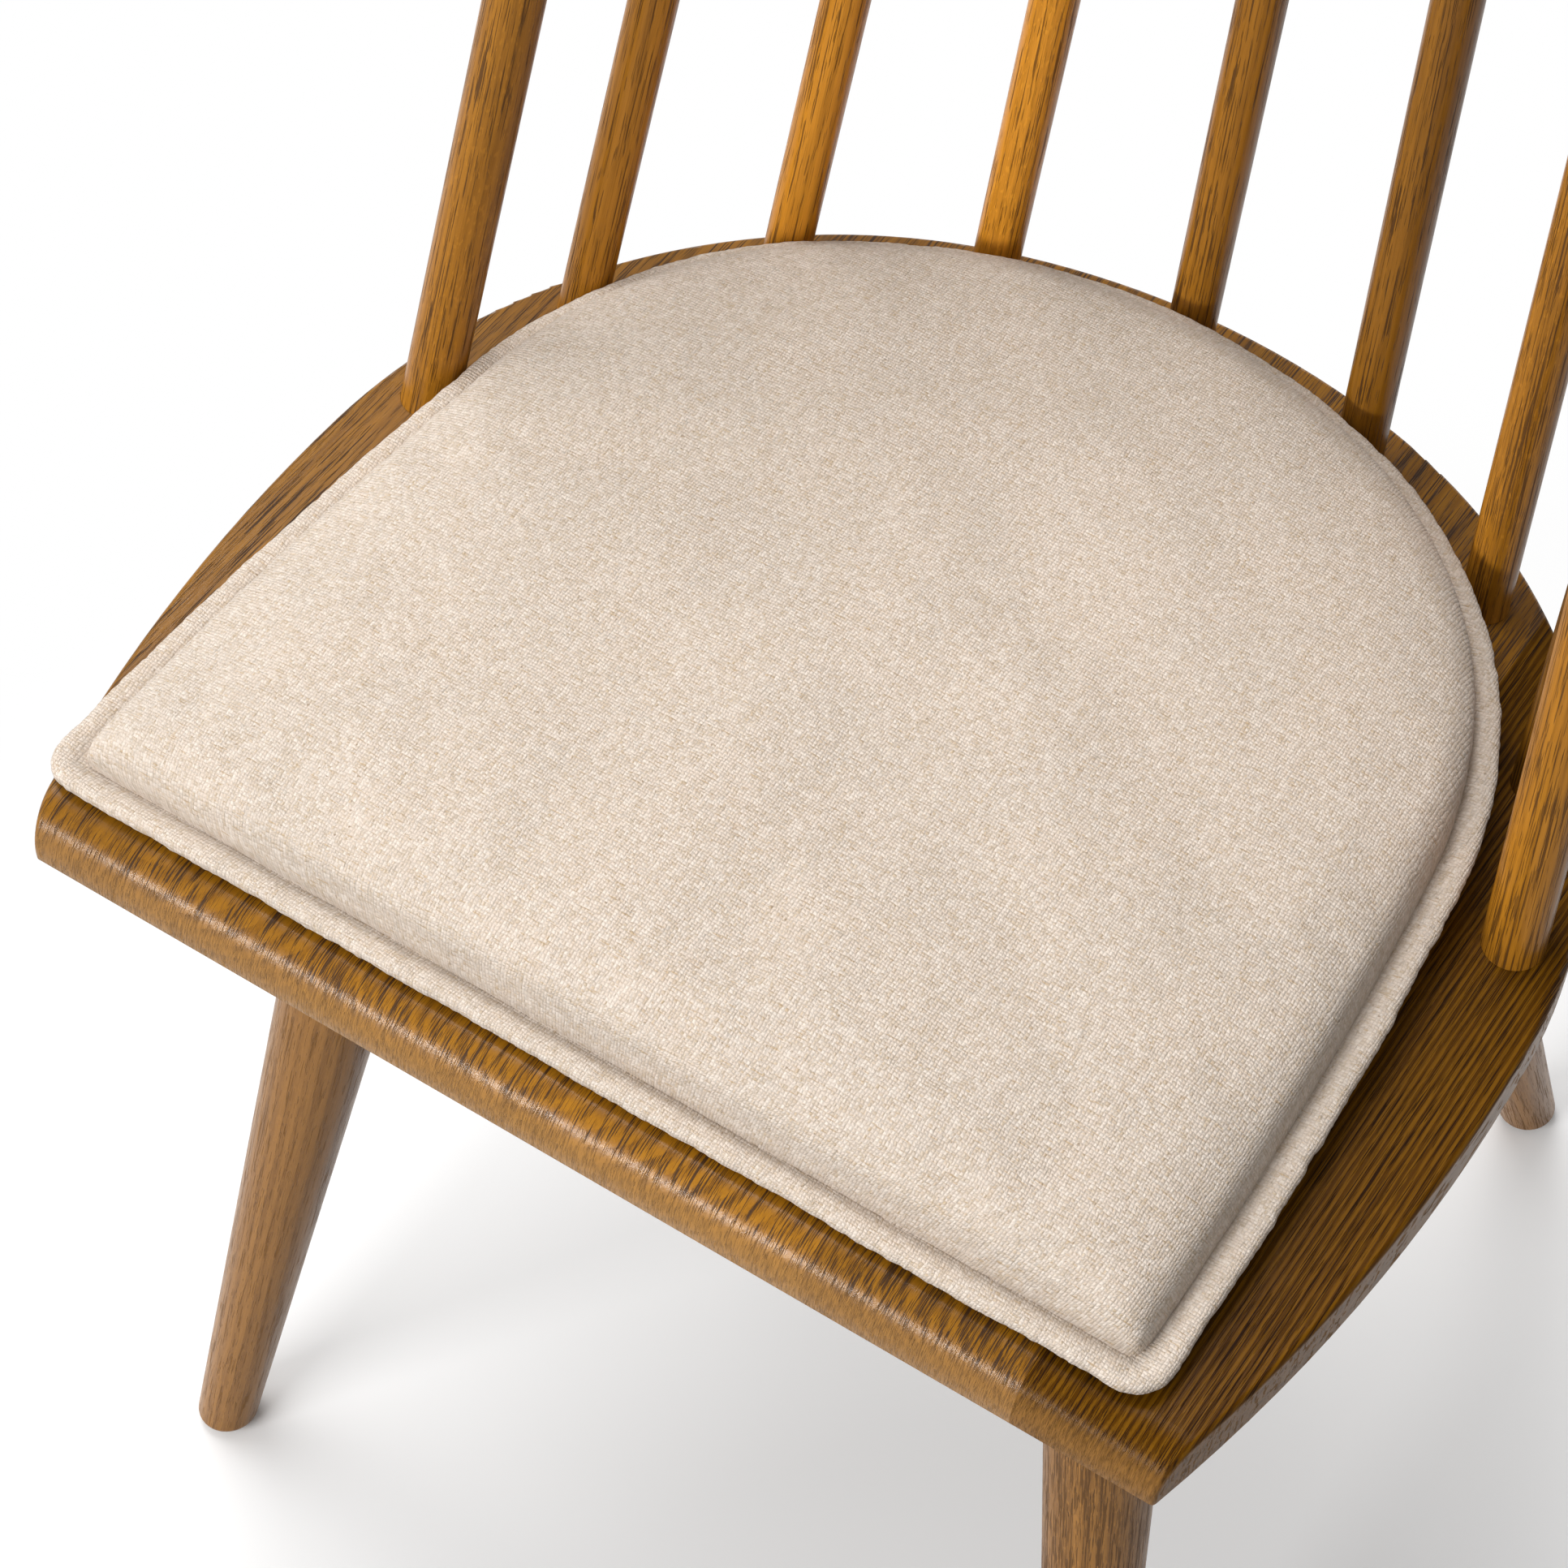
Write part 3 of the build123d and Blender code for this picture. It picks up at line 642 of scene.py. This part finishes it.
def oatmeal_cloth(name):
    """Plain weave of uneven oatmeal yarn, with ochre and grey slubs and a few dark neps."""
    material, wiring = new_finish(name)
    node, join, maths = wiring.node, wiring.join, wiring.maths
    noise_at, spread, blend = wiring.noise_at, wiring.spread, wiring.blend

    # weave: each yarn goes over one and under the next, and none runs quite straight
    place = node("ShaderNodeAttribute", attribute_name="cloth")
    cloth = place.outputs["Vector"]
    uneven = noise_at(cloth, (0.005, 0.005, 0.005), detail=3.0)
    centred = node("ShaderNodeVectorMath", operation="SUBTRACT")
    join(uneven.outputs["Color"], centred.inputs[0])
    centred.inputs[1].default_value = (0.5, 0.5, 0.5)
    pushed = node("ShaderNodeVectorMath", operation="MULTIPLY_ADD")
    join(centred.outputs[0], pushed.inputs[0])
    pushed.inputs[1].default_value = (yarn_pitch * 1.5,) * 3
    join(cloth, pushed.inputs[2])
    split = node("ShaderNodeSeparateXYZ")
    join(pushed.outputs[0], split.inputs[0])
    wave_x = maths("SINE", maths("MULTIPLY", split.outputs[0], pi / yarn_pitch))
    wave_y = maths("SINE", maths("MULTIPLY", split.outputs[1], pi / yarn_pitch))
    over = spread(maths("MULTIPLY", wave_x, wave_y), -0.12, 0.12)
    round_x = maths("ABSOLUTE", wave_x)
    round_y = maths("ABSOLUTE", wave_y)
    warp = maths("MULTIPLY", round_x, maths("POWER", round_y, 0.4))
    weft = maths("MULTIPLY", round_y, maths("POWER", round_x, 0.4))
    under = maths("SUBTRACT", 1.0, over)
    crowns = maths("ADD", maths("MULTIPLY", warp, over), maths("MULTIPLY", weft, under))
    warp_slub = noise_at(cloth, (yarn_pitch * 1.2, 0.012, 1), detail=2.0).outputs["Fac"]
    weft_slub = noise_at(cloth, (0.012, yarn_pitch * 1.2, 1), detail=2.0).outputs["Fac"]
    slub = maths("ADD", maths("MULTIPLY", warp_slub, over), maths("MULTIPLY", weft_slub, under))
    fuzz = noise_at(cloth, (0.0007, 0.0007, 0.0007), detail=3.0).outputs["Fac"]
    tone = noise_at(cloth, (0.05, 0.05, 0.05), detail=3.0).outputs["Fac"]

    # colour: slubs, neps, painted shade in the gaps between the yarns, odd threads and painted shade along
    # the seam
    colour = blend(spread(tone, 0.35, 0.65), pale_oat, dull_oat)
    colour = blend(spread(slub, 0.53, 0.72, 0.0, 0.95), colour, ochre_slub)
    colour = blend(spread(slub, 0.46, 0.28, 0.0, 0.70), colour, grey_slub)
    nep = noise_at(cloth, (0.0016, 0.0016, 0.0016), detail=0.0).outputs["Fac"]
    colour = blend(spread(nep, 0.76, 0.82, 0.0, 0.8), colour, dark_nep)
    # painted shade: the hollows between the yarn crowns are darkened where shade falls
    gap_shade = spread(crowns, 0.45, 0.05, 0.0, 0.32)
    colour = blend(gap_shade, colour, yarn_gap_shade)
    cell = node("ShaderNodeVectorMath", operation="SNAP")
    join(pushed.outputs[0], cell.inputs[0])
    cell.inputs[1].default_value = (yarn_pitch, yarn_pitch, 1)
    nub = node("ShaderNodeTexWhiteNoise", noise_dimensions="3D")
    join(cell.outputs[0], nub.inputs["Vector"])
    colour = blend(spread(nub.outputs["Value"], 0.50, 1.0, 0.0, 0.52), colour, pale_nub)
    colour = blend(spread(nub.outputs["Value"], 0.32, 0.0, 0.0, 0.55), colour, dull_nub)
    colour = blend(spread(fuzz, 0.35, 0.7, 0.0, 0.34), colour, lint)
    speck = node("ShaderNodeTexWhiteNoise", noise_dimensions="3D")
    shifted = node("ShaderNodeVectorMath", operation="ADD")
    join(cell.outputs[0], shifted.inputs[0])
    shifted.inputs[1].default_value = (3.1, 1.7, 0.4)
    join(shifted.outputs[0], speck.inputs["Vector"])
    dyed = maths("MULTIPLY", spread(speck.outputs["Value"], 0.92, 0.98), spread(fuzz, 0.40, 0.60))
    colour = blend(maths("MULTIPLY", dyed, 0.40), colour, brown_speck)
    ochre = noise_at(cloth, (0.0060, 0.0006, 1), detail=1.0).outputs["Fac"]
    colour = blend(spread(ochre, 0.62, 0.72, 0.0, 0.75), colour, ochre_thread)
    grey = noise_at(cloth, (0.0006, 0.0060, 1), detail=1.0).outputs["Fac"]
    colour = blend(spread(grey, 0.63, 0.73, 0.0, 0.60), colour, grey_thread)
    # painted shade: the cloth is darkened along the seam groove where shade falls
    seam_shade_mask = node("ShaderNodeAttribute", attribute_name="seam_shade_share").outputs["Fac"]
    colour = blend(maths("MULTIPLY", seam_shade_mask, 0.34), colour, seam_shade)

    # matt, soft surface with the yarns in relief
    surface = node("ShaderNodeBsdfPrincipled")
    surface.inputs["Roughness"].default_value = 0.92
    surface.inputs["Specular IOR Level"].default_value = 0.15
    surface.inputs["Sheen Weight"].default_value = 0.15
    surface.inputs["Sheen Roughness"].default_value = 0.6
    join(colour, surface.inputs["Base Color"])
    relief = node("ShaderNodeBump")
    relief.inputs["Distance"].default_value = cloth_relief
    relief.inputs["Strength"].default_value = 0.8
    height = maths("ADD", crowns, maths("MULTIPLY", fuzz, 0.5))
    height = maths("ADD", height, maths("MULTIPLY", slub, 0.6))
    height = maths("ADD", height, maths("MULTIPLY", nub.outputs["Value"], 0.35))
    join(height, relief.inputs["Height"])
    join(relief.outputs["Normal"], surface.inputs["Normal"])
    output = node("ShaderNodeOutputMaterial")
    join(surface.outputs["BSDF"], output.inputs["Surface"])
    return material


lay_weave(pad, seam.mean(axis=0))
pad.data.materials.append(oatmeal_cloth("cushion_cloth"))
pad.data.shade_smooth()
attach(pad, "cushion")
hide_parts("cushion_top_panel", "cushion_bottom_panel")

# ---------------------------------------------------------------- cushion flange
# Both panels of the cover run on past the seam, turned in and topstitched flat: a soft rolled edge.
seat_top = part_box("seat_stave_4")[1].z
flange_clearance = 0.0004
# half of the section, from the seam side to the outer edge: how far in, how far from the middle
flange_section = (
    (0.0135, 0.0006), (0.0118, 0.0007), (0.0100, 0.0010), (0.0084, 0.0017), (0.0060, 0.0024),
    (0.0036, 0.0027), (0.0017, 0.0024), (0.0005, 0.0015), (0.0, 0.0),
)


def flange_mesh():
    """The edge's section carried round the outline, closed, a little uneven."""
    mesh = bmesh.new()
    upper = list(flange_section)
    lower = [(inset, -height) for inset, height in reversed(upper[:-1])]
    section = upper + lower
    loops = []
    for k in range(outline_count):
        here = Vector((*edge[k], seam_height(edge[k][1])))
        out = Vector((*edge_outward[k], 0))
        wave = 0.0005 * noise.noise(here * 60) + 0.0004 * noise.noise(here * 170)
        wave += 0.00042 * noise.noise(here * 760)
        lift = 0.0009 * noise.noise(here * 22)
        ring = []
        for inset, height in section:
            swell = 1 + 0.16 * noise.noise(here * 120 + Vector((0, 0, inset * 90)))
            point = here + out * (wave * (1 - inset / 0.02) - inset) + Vector((0, 0, height * swell + lift))
            point.z = max(point.z, seat_top + flange_clearance)
            ring.append(mesh.verts.new(point))
        loops.append(ring)
    for k in range(outline_count):
        first, second = loops[k - 1], loops[k]
        for s in range(len(section)):
            t = (s + 1) % len(section)
            mesh.faces.new([first[s], second[s], second[t], first[t]])
    bmesh.ops.recalc_face_normals(mesh, faces=mesh.faces)
    data = bpy.data.meshes.new("cushion_flange_cloth")
    mesh.to_mesh(data)
    mesh.free()
    return data


flange = bpy.data.objects.new("cushion_flange_cloth", flange_mesh())
bpy.context.scene.collection.objects.link(flange)
soft_edge = flange.modifiers.new("soft", "SUBSURF")
soft_edge.levels = soft_edge.render_levels = 1
apply_modifiers(flange)
lay_weave(flange, seam.mean(axis=0))
flange.data.materials.append(pad.data.materials[0])
flange.data.shade_smooth()
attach(flange, "cushion")
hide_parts("cushion_flange")

# ---------------------------------------------------------------- foam and zip
# The slab inside the cover, and a nylon coil zip with its slider under the back of the cushion.
zip_tooth = 0.0008
finish_in(plain("foam", (0.78, 0.70, 0.50), 0.95, grain_size=0.0009, grain_depth=0.0003), "cushion_foam")
finish_in(plain("zip_slider_nylon", (0.50, 0.43, 0.33), 0.35), "zip_slider")
zip_nylon = plain("zip_nylon", (0.56, 0.48, 0.37), 0.55)
coil = Wiring(zip_nylon.node_tree)
tape = coil.node("ShaderNodeTexCoord")
along = coil.node("ShaderNodeSeparateXYZ")
coil.join(tape.outputs["Object"], along.inputs[0])
turn = coil.node("ShaderNodeMapRange")
turn.inputs["From Max"].default_value = zip_tooth
coil.join(coil.maths("PINGPONG", along.outputs[0], zip_tooth), turn.inputs["Value"])
tooth = coil.node("ShaderNodeBump")
tooth.inputs["Distance"].default_value = 0.0003
coil.join(turn.outputs["Result"], tooth.inputs["Height"])
coil.join(tooth.outputs["Normal"], zip_nylon.node_tree.nodes["Principled BSDF"].inputs["Normal"])
finish_in(zip_nylon, "cushion_zip")

# ---------------------------------------------------------------- floor and background
# White studio: sheet of pale paper that keeps the shadow near the chair and fades to plain white.
# Seen directly it is white, but it throws little of its light back on the chair.
all_sight = ("Is Camera Ray", "Is Glossy Ray", "Is Transmission Ray")
floor_size = 12
floor_seen = 0.97
floor_lit = 0.40
floor_middle = (0.22, -0.12, 0)
fade_start = 0.45
fade_end = 0.80


def sight_choice(wiring, seen, lit, seen_by=all_sight):
    """One value for what is seen directly, mirrored or through glass, and another for what lights."""
    rays = wiring.node("ShaderNodeLightPath")
    direct = rays.outputs[seen_by[0]]
    for sight in seen_by[1:]:
        direct = wiring.maths("MAXIMUM", direct, rays.outputs[sight])
    choice = wiring.node("ShaderNodeMix", data_type="FLOAT")
    wiring.join(direct, choice.inputs[0])
    wiring.join(lit, choice.inputs[2])
    wiring.join(seen, choice.inputs[3])
    return choice.outputs[0]


floor_mesh = bmesh.new()
bmesh.ops.create_grid(floor_mesh, x_segments=1, y_segments=1, size=floor_size)
floor_data = bpy.data.meshes.new("floor")
floor_mesh.to_mesh(floor_data)
floor_mesh.free()
floor = bpy.data.objects.new("floor", floor_data)
bpy.context.scene.collection.objects.link(floor)

floor_paper, paper = new_finish("floor_paper")
sheet = paper.node("ShaderNodeBsdfPrincipled")
sheet.inputs["Roughness"].default_value = 0.9
sheet.inputs["Specular IOR Level"].default_value = 0.0
paper.join(sight_choice(paper, floor_seen, floor_lit), sheet.inputs["Base Color"])
spot = paper.node("ShaderNodeTexCoord")
reach = paper.node("ShaderNodeVectorMath", operation="DISTANCE")
reach.inputs[1].default_value = floor_middle
paper.join(spot.outputs["Object"], reach.inputs[0])
backdrop = paper.node("ShaderNodeEmission")
paper.join(sight_choice(paper, 1.0, 0.0), backdrop.inputs["Strength"])
fade = paper.node("ShaderNodeMixShader")
paper.join(paper.spread(reach.outputs["Value"], fade_start, fade_end), fade.inputs[0])
paper.join(sheet.outputs["BSDF"], fade.inputs[1])
paper.join(backdrop.outputs[0], fade.inputs[2])
# from below the sheet is clear, so that the underside of the chair can be looked at
underneath = paper.node("ShaderNodeNewGeometry")
clear = paper.node("ShaderNodeBsdfTransparent")
one_sided = paper.node("ShaderNodeMixShader")
paper.join(underneath.outputs["Backfacing"], one_sided.inputs[0])
paper.join(fade.outputs[0], one_sided.inputs[1])
paper.join(clear.outputs[0], one_sided.inputs[2])
paper_end = paper.node("ShaderNodeOutputMaterial")
paper.join(one_sided.outputs[0], paper_end.inputs["Surface"])
floor.data.materials.append(floor_paper)

# ---------------------------------------------------------------- light
# Large soft light above and behind the left side, a low strip in front, and a dome that is brightest
# to the left.  The lacquer mirrors a white horizon under a dimmer ceiling.
world = bpy.data.worlds.new("studio")
bpy.context.scene.world = world
world.use_nodes = True
world.node_tree.nodes.clear()
sky = Wiring(world.node_tree)
where = sky.node("ShaderNodeTexCoord")
side = sky.node("ShaderNodeVectorMath", operation="DOT_PRODUCT")
side.inputs[1].default_value = Vector((-0.80, -0.45, 0.40)).normalized()
sky.join(where.outputs["Generated"], side.inputs[0])
dome = sky.spread(side.outputs["Value"], -0.7, 1.0, 0.24, 0.74)
height = sky.node("ShaderNodeSeparateXYZ")
sky.join(where.outputs["Generated"], height.inputs[0])
ceiling = sky.spread(height.outputs[2], 0.40, 0.75, 1.0, 0.15)
mirrored = sight_choice(sky, ceiling, dome, seen_by=all_sight[1:])
glow = sky.node("ShaderNodeBackground")
sky.join((1, 1, 1), glow.inputs["Color"])
sky.join(sight_choice(sky, 1.0, mirrored, seen_by=all_sight[:1]), glow.inputs["Strength"])
end = sky.node("ShaderNodeOutputWorld")
sky.join(glow.outputs[0], end.inputs["Surface"])


def softbox(name, place, target, size, power):
    """Rectangular studio light that looks at a target."""
    lamp = bpy.data.lights.new(name, "AREA")
    lamp.shape = "RECTANGLE"
    lamp.size, lamp.size_y = size
    lamp.energy = power
    light = bpy.data.objects.new(name, lamp)
    light.location = place
    light.rotation_euler = (Vector(target) - Vector(place)).to_track_quat("-Z", "Y").to_euler()
    bpy.context.scene.collection.objects.link(light)


softbox("key_light", (-0.90, 0.60, 2.90), (0, 0, 0.40), (1.3, 1.3), 38)
softbox("front_strip", (-0.80, -2.35, 1.45), (0, -0.2, 0.45), (1.5, 0.18), 42)
softbox("left_light", (-1.15, -0.35, 1.05), (0, 0, 0.45), (0.6, 0.6), 1.0)

# ---------------------------------------------------------------- camera
# Stands above and in front of the right corner and looks down on the cushion.
camera_data = bpy.data.cameras.new("camera")
camera_data.sensor_width = 36.0
camera_data.lens = 85.7
camera = bpy.data.objects.new("camera", camera_data)
bpy.context.scene.collection.objects.link(camera)
camera_place = Vector((0.4008, -0.7193, 1.4787))
camera_target = Vector((-0.0152, -0.0850, 0.4500))
camera.location = camera_place
camera.rotation_euler = (camera_target - camera_place).to_track_quat("-Z", "Y").to_euler()
bpy.context.scene.camera = camera
bpy.context.scene.view_settings.view_transform = "Standard"
